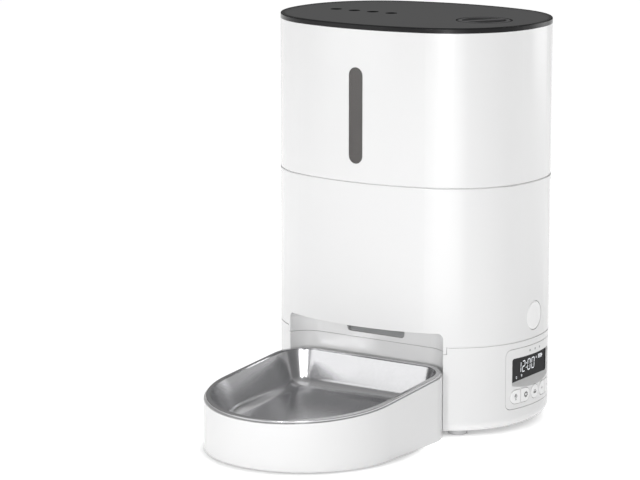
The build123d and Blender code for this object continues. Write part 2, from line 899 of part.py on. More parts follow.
# Chute from the drop down to the outlet over the bowl
chute_front = dock_back + wall
chute_rear = drop_front + drop_length + chute_wall
mouth_low = outlet_level - outlet_height / 2
mouth_high = outlet_level + outlet_height / 2
with BuildPart() as chute:
    with BuildSketch(from_right(-outlet_width / 2 - chute_wall)):
        with BuildLine():
            Polyline(
                (chute_front, mouth_low - chute_wall),
                (chute_front, mouth_high + chute_wall),
                (drop_front - 2 * chute_wall, chamber_level),
                (chute_rear, chamber_level),
                (chute_rear, chamber_level - 2 * chute_wall),
                close=True,
            )
        make_face()
    extrude(amount=outlet_width + 2 * chute_wall)
    with BuildSketch(from_right(-outlet_width / 2)):
        with BuildLine():
            Polyline(
                (chute_front, mouth_low),
                (chute_front, mouth_high),
                (drop_front, chamber_level),
                (chute_rear - chute_wall, chamber_level),
                (chute_rear - chute_wall, chamber_level - chute_wall / 2),
                close=True,
            )
        make_face()
    extrude(amount=outlet_width, mode=Mode.SUBTRACT)
save(chute.part, "outlet_chute")

# Food wheel with its stirrer, and the cover that keeps food off the open pocket
vane_reach = chamber_radius - rotor_gap
with BuildPart() as rotor:
    with BuildSketch(level(rotor_level)):
        with Locations((0, rotor_y)):
            Circle(rotor_hub_radius)
    extrude(amount=rotor_height)
    with BuildSketch(level(rotor_level)):
        with Locations((0, rotor_y)):
            with PolarLocations(vane_reach / 2, rotor_vanes, start_angle=90 / rotor_vanes):
                Rectangle(vane_reach, vane_thickness)
    extrude(amount=rotor_height)
    with BuildSketch(level(rotor_level)):
        with Locations((0, rotor_y)):
            Circle(rotor_journal_radius)
    extrude(amount=-chamber_floor)
    with BuildSketch(level(rotor_level - chamber_floor)):
        with Locations((0, rotor_y)):
            RegularPolygon(dog_flats / 2 + part_gap, 6, major_radius=False)
    extrude(amount=chamber_floor + dog_engagement + gear_spacing, mode=Mode.SUBTRACT)
    with BuildSketch(level(rotor_level + rotor_height)):
        with Locations((0, rotor_y)):
            Circle(screw_radius)
    extrude(amount=-screw_length, mode=Mode.SUBTRACT)
save(rotor.part, "food_rotor")

stirrer_level = rotor_level + rotor_height
with BuildPart() as stirrer:
    with BuildSketch(level(stirrer_level)):
        with Locations((0, rotor_y)):
            Circle(rotor_hub_radius)
    extrude(amount=stirrer_height, taper=stirrer_taper)
    for side in (-1, 1):
        with BuildSketch(level(stirrer_level + stirrer_height / 3)):
            with Locations((side * stirrer_reach / 2, rotor_y)):
                SlotOverall(stirrer_reach, stirrer_height / 3)
        extrude(amount=stirrer_height / 4)
    with BuildSketch(level(stirrer_level)):
        with Locations((0, rotor_y)):
            Circle(screw_radius)
    extrude(amount=stirrer_height, mode=Mode.SUBTRACT)
save(stirrer.part, "stirrer")
stirrer_screw_length = stirrer_height + screw_length - gear_spacing
save(screws([(0, rotor_y)], stirrer_level + stirrer_height, stirrer_screw_length), "stirrer_screw")

cover_low = stirrer_level + gear_spacing
with BuildPart() as portion_cover:
    with BuildSketch(level(cover_low)):
        with BuildLine():
            rim = CenterArc((0, rotor_y), chamber_radius, 270 - cover_angle / 2, cover_angle)
            hub = CenterArc((0, rotor_y), rotor_hub_radius + wall, 270 - cover_angle / 2, cover_angle)
            Line(rim @ 0, hub @ 0)
            Line(rim @ 1, hub @ 1)
        make_face()
    extrude(amount=cover_thickness)
save(portion_cover.part, "portion_cover")

# Funnel from the tank down to the drum
funnel_low = chamber_level + chamber_height
funnel_top_inset = wall + ledge_width + part_gap
throat_radius = chamber_radius + chamber_wall


def round_oval(radius):
    """Circle made of the same eight arcs as the housing outline."""
    corner_sweep = 90 - front_arc_angle - side_arc_angle
    with BuildSketch() as outline:
        with BuildLine():
            for turn in (0, 180):
                CenterArc((0, 0), radius, turn - side_arc_angle, 2 * side_arc_angle)
                CenterArc((0, 0), radius, turn + 90 - front_arc_angle, 2 * front_arc_angle)
                CenterArc((0, 0), radius, turn + side_arc_angle, corner_sweep)
                CenterArc((0, 0), radius, turn + 90 + front_arc_angle, corner_sweep)
        make_face()
    return outline.sketch


with BuildPart() as funnel_inside:
    with BuildSketch(level(funnel_seat)):
        add(oval(funnel_top_inset + funnel_wall))
    with BuildSketch(level(funnel_low)):
        with Locations((0, rotor_y)):
            add(round_oval(throat_radius - funnel_wall))
    loft()

with BuildPart() as funnel:
    with BuildSketch(level(funnel_seat)):
        add(oval(funnel_top_inset))
    with BuildSketch(level(funnel_low)):
        with Locations((0, rotor_y)):
            add(round_oval(throat_radius))
    loft()
    with BuildSketch(level(funnel_seat)):
        add(oval(wall + part_gap))
    extrude(amount=funnel_wall)
    add(funnel_inside.part, mode=Mode.SUBTRACT)
    with BuildSketch(level(funnel_seat)):
        add(oval(funnel_top_inset + funnel_wall))
    extrude(amount=funnel_wall, mode=Mode.SUBTRACT)
save(funnel.part, "funnel")

# Food tank with a window slot and a spigot into the middle housing, and the keeper for the lid lock
spigot_low = funnel_seat + funnel_wall + part_gap
window_level = seam_high + window_sill + window_length / 2
plug_inset = wall + plug_gap
lock_top = tank_top - plug_depth + lock_thickness + gear_spacing
keeper_low = lock_top + part_gap
with BuildPart() as tank:
    with BuildSketch(level(seam_high)):
        add(oval())
    extrude(amount=tank_height)
    fillet(tank.edges().group_by(Axis.Z)[0], radius=seam_edge_radius)
    with BuildSketch(level(seam_high)):
        add(oval(wall))
    extrude(amount=tank_height, mode=Mode.SUBTRACT)
    with BuildSketch(level(seam_high + wall)):
        add(ring(wall / 2, 2 * wall))
    extrude(amount=wall)
    with BuildSketch(level(spigot_low)):
        add(ring(wall + part_gap, 2 * wall))
    extrude(amount=seam_high + 2 * wall - spigot_low)
    with BuildSketch(from_front(-half_depth / 2)):
        with Locations((0, window_level)):
            SlotOverall(window_length, window_width, rotation=90)
    extrude(amount=half_depth, mode=Mode.SUBTRACT)
save(tank.part, "food_tank")

with BuildPart() as keeper:
    with BuildSketch(level(keeper_low)):
        with Locations((half_width - wall - keeper_reach / 2, 0)):
            Rectangle(keeper_reach + wall, keeper_width)
        add(oval(wall + running_gap), mode=Mode.INTERSECT)
    extrude(amount=lock_thickness)
save(keeper.part, "lid_keeper")

with BuildPart() as window_flange_part:
    with BuildSketch(from_front(-half_depth / 2)):
        with Locations((0, window_level)):
            SlotOverall(window_length + 2 * window_flange, window_width + 2 * window_flange, rotation=90)
    extrude(amount=half_depth)
    with BuildSketch(level(seam_high)):
        add(ring(wall, wall + window_thickness))
    extrude(amount=tank_height, mode=Mode.INTERSECT)

with BuildPart() as window_lens:
    with BuildSketch(from_front(-half_depth / 2)):
        with Locations((0, window_level)):
            SlotOverall(window_length - 2 * running_gap, window_width - 2 * running_gap, rotation=90)
    extrude(amount=half_depth)
    with BuildSketch(level(seam_high)):
        add(ring(part_gap, wall + window_thickness))
    extrude(amount=tank_height, mode=Mode.INTERSECT)
    add(window_flange_part.part)
save(window_lens.part, "window_lens")

# Lid with a sunken top, a plug that enters the tank, a seal, a turn lock and a drying box
lid_floor = lid_top - lid_sink
lid_under = lid_floor - lid_plate
plug_low = tank_top - plug_depth
seal_level = plug_low + plug_depth / 2
knob_seat = lid_floor - knob_thickness
knob_radius = knob_diameter / 2
boss_low = knob_seat - lid_plate
lock_level = lock_top - lock_thickness
with BuildPart() as lid_sunk:
    with BuildSketch(level(lid_floor)):
        add(oval(lid_rim_width + lid_bevel_width))
    with BuildSketch(level(lid_top)):
        add(oval(lid_rim_width))
    loft()

with BuildPart() as lid:
    with BuildSketch(level(tank_top)):
        add(oval())
    extrude(amount=lid_edge)
    fillet(lid.edges().group_by(Axis.Z)[-1], radius=seam_edge_radius)
    add(lid_sunk.part, mode=Mode.SUBTRACT)
    with BuildSketch(level(lid_under)):
        add(oval(plug_inset + plug_wall))
    extrude(amount=tank_top - lid_under, mode=Mode.SUBTRACT)
    with BuildSketch(level(plug_low)):
        add(ring(plug_inset, plug_inset + plug_wall))
        with Locations((half_width, 0)):
            Rectangle(half_width, lock_notch, mode=Mode.SUBTRACT)
    extrude(amount=tank_top - plug_low)
    with BuildSketch(level(boss_low)):
        with Locations((knob_x, 0)):
            Circle(knob_radius + lid_plate)
    extrude(amount=lid_floor - boss_low)
    with BuildSketch(level(knob_seat)):
        with Locations((knob_x, 0)):
            Circle(knob_radius + part_gap)
    extrude(amount=lid_edge, mode=Mode.SUBTRACT)
    with BuildSketch(level(boss_low)):
        with Locations((knob_x, 0)):
            Circle(knob_stem_radius + running_gap)
    extrude(amount=lid_edge, mode=Mode.SUBTRACT)
    with BuildSketch(level(seal_level)):
        add(ring(plug_inset - wall, plug_inset + seal_depth))
        with Locations((half_width, 0)):
            Rectangle(half_width, lock_notch, mode=Mode.SUBTRACT)
    extrude(amount=seal_height, mode=Mode.SUBTRACT)
save(lid.part, "lid")

with BuildPart() as seal:
    with BuildSketch(level(seal_level)):
        add(ring(wall + part_gap, plug_inset + seal_depth))
        with Locations((half_width, 0)):
            Rectangle(half_width, lock_notch, mode=Mode.SUBTRACT)
    extrude(amount=seal_height)
save(seal.part, "lid_seal")

with BuildPart() as lid_knob:
    with BuildSketch(level(knob_seat + running_gap)):
        with Locations((knob_x, 0)):
            Circle(knob_radius)
    extrude(amount=knob_thickness)
    fillet(lid_knob.edges().group_by(Axis.Z)[-1], radius=seam_edge_radius / 2)
    with BuildSketch(level(lid_floor - knob_dish)):
        with Locations((knob_x, 0)):
            Circle(knob_radius - grip_width / 2)
        with Locations(Location((knob_x, 0), 90 + grip_turn)):
            SlotOverall(knob_diameter, grip_width, mode=Mode.SUBTRACT)
    extrude(amount=lid_edge, mode=Mode.SUBTRACT)
    with BuildSketch(level(knob_seat + running_gap)):
        with Locations((knob_x, 0)):
            Circle(knob_stem_radius)
    extrude(amount=lock_top - knob_seat - running_gap)
    with BuildSketch(level(lock_top)):
        with Locations((knob_x, 0)):
            Circle(screw_radius)
    extrude(amount=screw_length - lock_thickness, mode=Mode.SUBTRACT)
save(lid_knob.part, "lid_knob")

with BuildPart() as lock_arm:
    with BuildSketch(level(lock_level)):
        with Locations((knob_x, 0)):
            Circle(lock_hub_radius)
        with Locations((knob_x, -lock_reach / 2)):
            RectangleRounded(lock_width, lock_reach, lock_width / 4)
        with Locations((knob_x, 0)):
            Circle(screw_radius, mode=Mode.SUBTRACT)
    extrude(amount=lock_thickness)
save(lock_arm.part, "lock_arm")

with BuildPart() as lock_screw:
    with BuildSketch(level(lock_level)):
        with Locations((knob_x, 0)):
            Circle(screw_head_radius)
    extrude(amount=-screw_head_height)
    with BuildSketch(level(lock_level)):
        with Locations((knob_x, 0)):
            Circle(screw_radius)
    extrude(amount=screw_length)
save(lock_screw.part, "lock_screw")

dry_low = lid_under - dry_box_height
with BuildPart() as dry_box:
    with BuildSketch(level(dry_low)):
        with Locations((dry_box_x, 0)):
            RectangleRounded(dry_box_width, dry_box_length, 2 * dry_wall)
            RectangleRounded(
                dry_box_width - 2 * dry_wall, dry_box_length - 2 * dry_wall, dry_wall, mode=Mode.SUBTRACT
            )
    extrude(amount=dry_box_height)
save(dry_box.part, "drying_box")

with BuildPart() as dry_cover:
    with BuildSketch(level(dry_low - part_gap)):
        with Locations((dry_box_x, 0)):
            RectangleRounded(dry_box_width, dry_box_length, 2 * dry_wall)
    extrude(amount=-dry_wall)
    with BuildSketch(level(dry_low - part_gap)):
        with Locations((dry_box_x, 0)):
            inner_width = dry_box_width - 2 * dry_wall - 2 * part_gap
            inner_length = dry_box_length - 2 * dry_wall - 2 * part_gap
            RectangleRounded(inner_width, inner_length, dry_wall)
            RectangleRounded(
                inner_width - 2 * dry_wall, inner_length - 2 * dry_wall, dry_wall / 2, mode=Mode.SUBTRACT
            )
    extrude(amount=2 * dry_wall)
    with BuildSketch(level(dry_low - part_gap)):
        with Locations((dry_box_x, 0)):
            with GridLocations(dry_box_width / (dry_slot_count + 2), 0, dry_slot_count, 1):
                SlotOverall(dry_box_length / 2, dry_wall, rotation=90)
    extrude(amount=-dry_wall, mode=Mode.SUBTRACT)
save(dry_cover.part, "drying_box_cover")

# Bowl tray with a sloping rim, its pads, and the steel bowl that hangs in it
tray_high = tray_rim_rear + 2 * wall
tongue_length = dock_rear_gap + 2 * wall
with BuildPart() as tray:
    with BuildSketch(level(tray_floor_height)):
        add(tray_plan())
    extrude(amount=tray_high)
    fillet(tray.edges().group_by(Axis.Z)[0], radius=seam_edge_radius)
    with BuildSketch(level(tray_floor_height + tray_wall)):
        add(tray_plan(tray_wall))
    extrude(amount=tray_high, mode=Mode.SUBTRACT)
    with BuildSketch(from_right(-body_width)):
        with BuildLine():
            Polyline(
                (tray_rear + tray_length, tray_rim_rear + rim_slope * tray_length),
                (tray_front - tray_length, tray_rim_front - rim_slope * tray_length),
                (tray_front - tray_length, 3 * tray_high),
                (tray_rear + tray_length, 3 * tray_high),
                close=True,
            )
        make_face()
    extrude(amount=2 * body_width, mode=Mode.SUBTRACT)
    with BuildSketch(from_front(tray_rear - tray_wall / 2)):
        with Locations((-tongue_spacing / 2, tongue_level), (tongue_spacing / 2, tongue_level)):
            Rectangle(tongue_width, tongue_height)
    extrude(amount=-tongue_length)
    pad_spots = [
        (sx * (tray_half_width - tray_pad_inset), y)
        for sx in (1, -1)
        for y in (tray_rear - tray_pad_inset, tray_front + tray_half_width)
    ]
    with BuildSketch(level(tray_floor_height)):
        with Locations(pad_spots):
            Circle(tray_pad_radius + part_gap)
    extrude(amount=tray_wall / 3, mode=Mode.SUBTRACT)
save(tray.part, "bowl_tray")

with BuildPart() as tray_pads:
    with BuildSketch(level(0)):
        with Locations(pad_spots):
            Circle(tray_pad_radius)
    extrude(amount=tray_floor_height + tray_wall / 3)
save(tray_pads.part, "tray_pads")

# The bowl is drawn on the plane of the sloping rim, with the tray's rear edge at its own y = tray_rear
rim_cos = 1 / sqrt(1 + rim_slope**2)
rim_normal = (0, -rim_slope * rim_cos, rim_cos)


def on_rim(height):
    """Plane of the tray's rim, a height above it."""
    y = body_y + tray_rear * (1 - rim_cos) + height * rim_normal[1]
    z = tray_rim_rear - tray_rear * rim_slope * rim_cos + height * rim_cos
    return Plane((0, y, z), x_dir=(1, 0, 0), z_dir=rim_normal)


def basin(inset, depth):
    """Solid of the bowl's hollow, narrowing downwards to a soft floor."""
    with BuildPart() as hollow:
        with BuildSketch(on_rim(part_gap + bowl_rim_thickness / 2)):
            add(tray_plan(inset))
        extrude(amount=-depth, taper=bowl_taper)
        floor = hollow.faces().sort_by(Axis((0, 0, 0), rim_normal))[0]
        fillet(floor.edges(), radius=bowl_floor_radius)
    return hollow.part


basin_inset = bowl_rim_inset + bowl_rim_width
basin_outside = basin(basin_inset - bowl_sheet, bowl_depth + bowl_sheet)
basin_inside = basin(basin_inset, bowl_depth)
with BuildPart() as bowl:
    with BuildSketch(on_rim(part_gap)):
        add(tray_plan(bowl_rim_inset))
    extrude(amount=bowl_rim_thickness)
    fillet(bowl.edges().group_by(Axis((0, 0, 0), rim_normal))[-1], radius=bowl_rim_round)
    add(basin_outside)
    with BuildSketch(on_rim(part_gap + bowl_rim_thickness / 2)):
        add(tray_plan(basin_inset))
    extrude(amount=bowl_rim_thickness, mode=Mode.SUBTRACT)
    add(basin_inside, mode=Mode.SUBTRACT)
save(bowl.part, "steel_bowl")

# Control panel: a curved plate with a flat display pocket, key holes and light holes
key_pair_x = key_height / 2 + key_round_gap + key_pair_width / 2
key_names = ("record_key", "settings_key", "feed_key", "plus_key", "minus_key")


def key_outline(index, grow=0.0):
    """Outline of one key: a round one in the middle and the halves of two pills beside it."""
    with BuildSketch() as outline:
        if index == 2:
            Circle(key_height / 2 + grow)
        else:
            middle = -key_pair_x if index < 2 else key_pair_x
            half = -1 if index in (0, 3) else 1
            with Locations((middle, 0)):
                SlotOverall(key_pair_width + 2 * grow, key_height + 2 * grow)
            with Locations((middle + half * (key_pair_width / 2 + key_split / 2 - grow), 0)):
                Rectangle(key_pair_width, 2 * key_pair_width, mode=Mode.INTERSECT)
    return outline.sketch


panel_posts = [(sx * panel_post_span / 2, sy * panel_post_rise / 2) for sx in (1, -1) for sy in (1, -1)]
panel_post_level = (key_level + display_level) / 2
display_low = display_level - display_height / 2
with BuildPart() as panel:
    with BuildSketch(on_panel(panel_depth, panel_level)):
        RectangleRounded(panel_width, panel_height, panel_corner)
    extrude(amount=2 * panel_depth)
    with BuildSketch(level(base_bottom)):
        add(oval())
    extrude(amount=base_height, mode=Mode.INTERSECT)
    with BuildSketch(on_panel(panel_depth, display_level)):
        RectangleRounded(display_width, display_height, display_corner)
    extrude(amount=2 * panel_depth, mode=Mode.SUBTRACT)
    with BuildSketch(on_panel(display_sink, display_low)):
        with Locations((0, display_corner / 2)):
            Rectangle(display_width, display_corner)
    with BuildSketch(on_panel(0, display_low - display_slope)):
        with Locations((0, (display_slope + display_corner) / 2)):
            Rectangle(display_width, display_slope + display_corner)
    loft(mode=Mode.SUBTRACT)
    for index in range(len(key_names)):
        with BuildSketch(on_panel(panel_depth, key_level)):
            add(key_outline(index, key_gap))
        extrude(amount=2 * panel_depth, mode=Mode.SUBTRACT)
    with BuildSketch(on_panel(panel_depth, light_level)):
        with GridLocations(light_spacing, 0, 3, 1):
            Circle(light_radius + running_gap)
    extrude(amount=2 * panel_depth, mode=Mode.SUBTRACT)
    with BuildSketch(on_panel(panel_depth, panel_post_level)):
        with Locations(panel_posts):
            Circle(panel_post_radius)
    extrude(amount=panel_depth - board_depth)
    with BuildSketch(on_panel(board_depth, panel_post_level)):
        with Locations(panel_posts):
            Circle(screw_radius / 2)
    extrude(amount=screw_length / 2, mode=Mode.SUBTRACT)
save(panel.part, "control_panel")

with BuildPart() as display_lens:
    with BuildSketch(on_panel(display_sink + lens_thickness, display_level)):
        RectangleRounded(display_width - 2 * running_gap, display_height - 2 * running_gap, display_corner)
    extrude(amount=lens_thickness)
save(display_lens.part, "display_lens")

with BuildPart() as display_module:
    with BuildSketch(on_panel(panel_depth + module_thickness, display_level)):
        RectangleRounded(
            display_width - 2 * panel_post_radius,
            display_height - panel_post_radius,
            running_gap,
        )
    extrude(amount=module_thickness)
save(display_module.part, "display_module")

# Five keys, each with a stem that stops just short of its switch
key_back = on_panel(panel_depth, key_level)
switch_face = board_depth - switch_height
stem_end = switch_face - key_travel - running_gap
for index, key_name in enumerate(key_names):
    with BuildPart() as key:
        with BuildSketch(key_back):
            add(key_outline(index))
        extrude(amount=2 * panel_depth)
        with BuildSketch(level(base_bottom)):
            add(oval(-key_proud))
        extrude(amount=base_height, mode=Mode.INTERSECT)
        face_edges = [
            edge
            for edge in key.edges()
            if min(key_back.to_local_coords(corner.center()).Z for corner in edge.vertices()) > key_travel
        ]
        fillet(face_edges, radius=key_proud)
        with BuildSketch(key_back):
            with Locations(key_outline(index).face().center()):
                Circle(key_stem_radius)
        extrude(amount=panel_depth - stem_end)
    save(key.part, key_name)

with BuildPart() as status_lights:
    with BuildSketch(on_panel(panel_depth, light_level)):
        with GridLocations(light_spacing, 0, 3, 1):
            Circle(light_radius)
    extrude(amount=2 * panel_depth)
    with BuildSketch(level(base_bottom)):
        add(oval())
    extrude(amount=base_height, mode=Mode.INTERSECT)
    with BuildSketch(on_panel(panel_depth, light_level)):
        SlotOverall(3 * light_spacing, light_bar)
    extrude(amount=-light_bar)
save(status_lights.part, "status_lights")

# Key board behind the panel, with one switch for each key
with BuildPart() as key_board:
    with BuildSketch(on_panel(board_depth, panel_post_level)):
        RectangleRounded(
            panel_post_span + 2 * panel_post_radius,
            panel_post_rise + 2 * panel_post_radius,
            panel_post_radius,
        )
        with Locations(panel_posts):
            Circle(screw_radius / 2, mode=Mode.SUBTRACT)
    extrude(amount=-board_thickness)
save(key_board.part, "key_board")

with BuildPart() as key_switches:
    for index in range(len(key_names)):
        key_x = key_outline(index).face().center().X
        with BuildSketch(on_panel(board_depth, key_level)):
            with Locations((key_x, 0)):
                Rectangle(switch_size, switch_size)
        extrude(amount=switch_height - key_travel)
        with BuildSketch(on_panel(board_depth, key_level)):
            with Locations((key_x, 0)):
                Circle(key_stem_radius)
        extrude(amount=switch_height)
save(key_switches.part, "key_switches")

with BuildPart() as panel_screws:
    with BuildSketch(on_panel(board_depth + board_thickness, panel_post_level)):
        with Locations(panel_posts):
            Circle(small_head_radius)
    extrude(amount=-screw_head_height)
    with BuildSketch(on_panel(board_depth + board_thickness, panel_post_level)):
        with Locations(panel_posts):
            Circle(screw_radius / 2)
    extrude(amount=screw_length / 2 + board_thickness)
save(panel_screws.part, "panel_screws")

# Main board with its processor, relay and sockets, on four posts
board_top = board_level + board_thickness
with BuildPart() as main_board:
    with BuildSketch(level(board_level)):
        with Locations((board_x, board_y)):
            RectangleRounded(board_width, board_length, board_post_inset / 2)
        with Locations(board_posts):
            Circle(screw_radius, mode=Mode.SUBTRACT)
    extrude(amount=board_thickness)
    with BuildSketch(level(board_top)):
        with Locations((board_x, board_y)):
            Rectangle(board_width / 4, board_width / 4)
    extrude(amount=board_thickness)
    with BuildSketch(level(board_top)):
        with Locations((board_x, board_y + board_length / 3)):
            with GridLocations(board_width / 4, 0, 2, 1):
                Circle(board_width / 12)
    extrude(amount=board_width / 5)
    with BuildSketch(level(board_top)):
        with Locations((board_x, board_y - board_length / 3)):
            with GridLocations(board_width / 4, 0, 2, 1):
                Rectangle(board_width / 5, board_width / 8)
    extrude(amount=board_width / 8)
save(main_board.part, "main_board")
save(screws(board_posts, board_top), "board_screws")

# Speaker over the slots in the floor
with BuildPart() as speaker:
    with BuildSketch(level(base_floor)):
        with Locations((speaker_x, speaker_y)):
            Circle(speaker_radius)
    extrude(amount=speaker_height / 3)
    with BuildSketch(level(base_floor + speaker_height / 3)):
        with Locations((speaker_x, speaker_y)):
            Circle(speaker_cone_radius)
    extrude(amount=speaker_height / 3, taper=speaker_cone_taper)
    with BuildSketch(level(base_floor + speaker_height / 2)):
        with Locations((speaker_x, speaker_y)):
            Circle(speaker_radius / 2)
    extrude(amount=speaker_height / 2)
    with BuildSketch(level(base_floor)):
        with Locations((speaker_x, speaker_y)):
            Circle(speaker_dish_radius)
    extrude(amount=speaker_height / 4, taper=speaker_dish_taper, mode=Mode.SUBTRACT)
save(speaker.part, "speaker")

# Power inlet in the back
inlet_front = half_depth - wall - part_gap
with BuildPart() as dc_inlet:
    with BuildSketch(from_front(half_depth)):
        with Locations((0, inlet_level)):
            Circle(inlet_radius)
    extrude(amount=half_depth - inlet_front)
    with BuildSketch(from_front(inlet_front)):
        with Locations((0, inlet_level)):
            Rectangle(inlet_body, inlet_body)
    extrude(amount=inlet_length)
    with BuildSketch(from_front(half_depth)):
        with Locations((0, inlet_level)):
            Circle(inlet_bore)
            Circle(inlet_pin, mode=Mode.SUBTRACT)
    extrude(amount=inlet_bore_depth, mode=Mode.SUBTRACT)
save(dc_inlet.part, "dc_inlet")
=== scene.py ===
import json
from math import cos, pi, radians, sin

import bmesh
import bpy
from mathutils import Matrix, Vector
from mathutils.bvhtree import BVHTree


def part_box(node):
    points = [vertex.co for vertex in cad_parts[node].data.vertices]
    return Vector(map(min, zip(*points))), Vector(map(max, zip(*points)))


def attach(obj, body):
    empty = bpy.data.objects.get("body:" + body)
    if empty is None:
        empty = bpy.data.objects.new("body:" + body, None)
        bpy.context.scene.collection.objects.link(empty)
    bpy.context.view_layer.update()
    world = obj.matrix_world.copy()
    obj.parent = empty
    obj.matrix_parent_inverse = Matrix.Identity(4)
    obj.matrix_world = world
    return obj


# Automatic pet feeder in a white studio. Metres, +Z up, bowl towards -Y, panel towards +X.
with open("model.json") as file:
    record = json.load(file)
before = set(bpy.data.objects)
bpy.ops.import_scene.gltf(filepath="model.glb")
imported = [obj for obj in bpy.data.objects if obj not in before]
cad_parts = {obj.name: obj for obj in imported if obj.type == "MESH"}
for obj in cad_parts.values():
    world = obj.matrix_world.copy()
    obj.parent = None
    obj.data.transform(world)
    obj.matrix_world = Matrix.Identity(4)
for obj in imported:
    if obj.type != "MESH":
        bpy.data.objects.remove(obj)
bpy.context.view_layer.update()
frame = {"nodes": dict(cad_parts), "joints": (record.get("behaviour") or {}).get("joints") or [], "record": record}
MM = 0.001
ACROSS = Vector((1, 0, 0))
BACK = Vector((0, 1, 0))
UP = Vector((0, 0, 1))

# Camera
CAMERA_PLACE = Vector((1.211, -1.8161, 0.5628))
CAMERA_AIM = Vector((-0.55727, 0.80877, -0.18797))
CAMERA_LENS = 165.0
CAMERA_SENSOR = 36.0
CAMERA_REACH = 100.0

# Plastics and metals: scales of the tones and of the gloss, how far the gloss strays, and the relief
TONE_SCALE = 14.0
GLOSS_SCALE = 60.0
GLOSS_DETAIL = 4.0
GLOSS_STRAY = 0.04
GRAIN_STRENGTH = 0.5
GRAIN_HEIGHT = 0.00004
LINES_DETAIL = 3.0
NOISE_MIDDLE = (0.3, 0.7)

# Lid: the sunken top is what faces up and lies lower than the rim, in millimetres; the rim and every face that
# does not face up are painted darker as shade
LID_FACING_UP = (0.8, 0.95)
LID_RIM_ENDS = 0.2
LID_TOP_STARTS = 0.5
LID_TOP_SUNK = 0.9
# Painted shade: the rim and the lid's walls take this darker colour
LID_RIM_SHADE_COLOUR = (0.012, 0.012, 0.0125)
LID_TOP_COLOUR = (0.12, 0.12, 0.121)
LID_ROUGHNESS = (0.2, 0.5)
LID_GLOSS = 0.18
LID_GRAIN_SCALE = 1200.0

# Printed and lit marks, and the painted shade round the knob, in millimetres
MARK_THICKNESS = 0.06
MARK_SUNK = 0.045
RAY_HEIGHT = 40

# Display, in millimetres from the middle of the lens
DIGIT_HEIGHT = 8.0
DIGIT_WIDTH = 4.7
DIGIT_STROKE = 0.8
DIGIT_LEAN = 0.06
DIGIT_GAP = 0.12
DIGIT_PITCH = DIGIT_WIDTH + 1.7
DIGITS_RIGHT = 10.4
DIGITS_UP = -0.1
COLON_RIGHT = DIGITS_RIGHT - 2 * DIGIT_PITCH - 0.4
COLON_MIDDLE = COLON_RIGHT + 0.1
COLON_LEFT = COLON_RIGHT - 1.6
COLON_RADIUS = 0.55
COLON_POINTS = 12
COLON_RISE = 1.7
ICONS_UP = 3.3
BATTERY_MIDDLE = 19.2
BATTERY_CELL_PITCH = 1.5
BATTERY_TIP = 22.5
DROP_MIDDLE = 13.3

# Cog and dish on the keys, in millimetres
COG_POINTS = 32
COG_TIP = 2.5
COG_ROOT = 2.0
COG_BORE = 0.9
DISH_STRIPS = 6
DISH_TOP_STEP = 0.8
DISH_LOW_STEP = 0.57
DISH_DEPTH = 1.6

# Painted shade round the knob and marks on the lid, in millimetres
KNOB_SHADE_INNER = 0.6
KNOB_SHADE_OUTER = 1.5
KNOB_SHADE_POINTS = 64
LID_MARK_RADIUS = 4.6
LID_MARK_POINTS = 40
LID_MARK_PITCH = 17.1
LID_MARK_MIDDLE = -48.0
LID_MARK_COUNT = 4

# Floor. It glows less under the feeder, and more in three sectors, whose reflections are the upright
# highlights on the body. A sector is its azimuth, its half width inside and outside its soft edge,
# and its glow. The shade's edges are shares of the size of the body and of the tray.
FLOOR_HALF = 12.0
FLOOR_GLOW = 0.56
FAR_GLOW = 0.08
GLOW_SECTORS = ((-60, 10, 24, 1.1), (55, 15, 38, 0.35), (175, 15, 35, 0.25))
SECTORS_START = (0.3, 0.8)
SHADE_GLOW = 0.18
BODY_SHADE_EDGE = (0.88, 1.08)
TRAY_SHADE_EDGE = (1.0, 1.12)

# Lights: place, size and watts of each box, all aimed at one point, and a spot on the dock
BOXES_AIM = Vector((0, 0.05, 0.15))
BOXES = {
    "front_box": ((-1.6, -2.3, 0.45), (2.0, 1.2), 10),
    "near_strip": ((1.55, -2.8, 0.45), (0.6, 1.6), 27),
    "top_box": ((0, 0, 2.4), (2.6, 2.6), 10),
    "back_strip": ((0.95, 2.0, 0.5), (0.9, 1.5), 5),
}
SPOT_PLACE = Vector((0.3, -2.6, 0.3))
SPOT_AIM = Vector((0.0, -0.012, 0.07))
SPOT_WATTS = 85
SPOT_WIDTH = 0.18
SPOT_SOFTNESS = 0.15
SKY_RISE = (0.0, 0.7)
SKY_GLOW = (0.08, 0.42)


# Materials

def new_material(name):
    """Empty node material with its output and main shader."""
    made = bpy.data.materials.new(name)
    made.use_nodes = True
    nodes = made.node_tree.nodes
    nodes.clear()
    output = nodes.new("ShaderNodeOutputMaterial")
    shader = nodes.new("ShaderNodeBsdfPrincipled")
    made.node_tree.links.new(shader.outputs["BSDF"], output.inputs["Surface"])
    return made, shader


def add_node(made, kind, **settings):
    """Node in a material or the sky, with its properties set."""
    node = made.node_tree.nodes.new(kind)
    for key, value in settings.items():
        setattr(node, key, value)
    return node


def link(made, source, target):
    """Link between two sockets of a material or the sky."""
    made.node_tree.links.new(source, target)


def place(made, stretch=(1, 1, 1)):
    """Object coordinates, stretched along the axes."""
    where = add_node(made, "ShaderNodeTexCoord")
    mapping = add_node(made, "ShaderNodeMapping")
    mapping.inputs["Scale"].default_value = stretch
    link(made, where.outputs["Object"], mapping.inputs["Vector"])
    return mapping.outputs["Vector"]


def noise(made, scale, detail=2.0, stretch=(1, 1, 1)):
    """Noise over the piece's own coordinates, about 0 to 1."""
    texture = add_node(made, "ShaderNodeTexNoise")
    texture.inputs["Scale"].default_value = scale
    texture.inputs["Detail"].default_value = detail
    link(made, place(made, stretch), texture.inputs["Vector"])
    return texture.outputs["Fac"]


